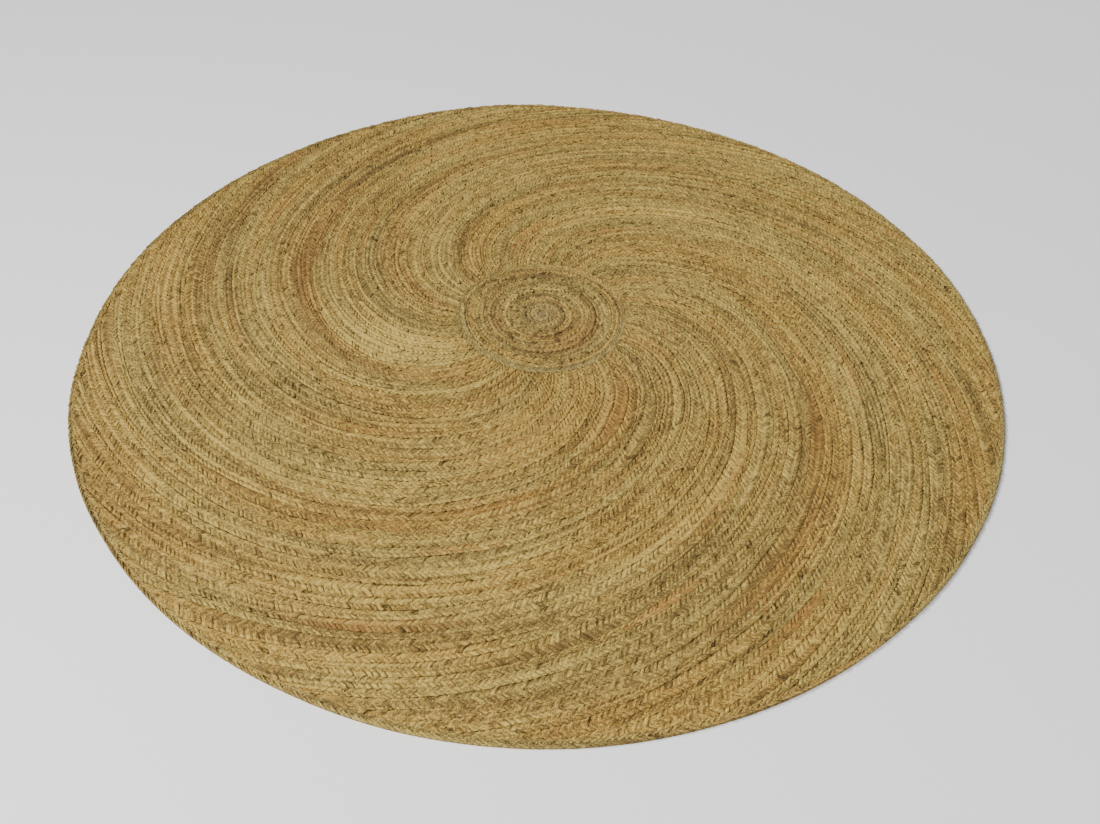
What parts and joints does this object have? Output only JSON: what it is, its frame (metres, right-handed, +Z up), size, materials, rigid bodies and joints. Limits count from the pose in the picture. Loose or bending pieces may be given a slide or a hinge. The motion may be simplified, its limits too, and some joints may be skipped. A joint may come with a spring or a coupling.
{
  "type": "round braided jute rug",
  "caption": "Flat round rug of plaited jute: a spiral-wound centre disc with a ring braid, a field of braids that swirl out to the rim, and an edge braid.",
  "frame": {"origin": "centre of the spiral disc, on the underside, where the rug lies on the floor", "axes": "+Z up out of the rug's face; +X and +Y lie in the floor, with -Y the side nearest a viewer standing in front"},
  "size_m": [2.0016, 2.0089, 0.009],
  "materials": {
    "jute": "golden tan plaited jute, matte, with darker and rust-brown strands",
    "jute_greyed": "plaited jute of a greyer, olive cast, matte and flatter"
  },
  "bodies": {
    "root": {"centre_disc": "jute", "ring_braid": "jute_greyed", "swirl_field": "jute", "edge_braid": "jute"}
  },
  "joints": []
}
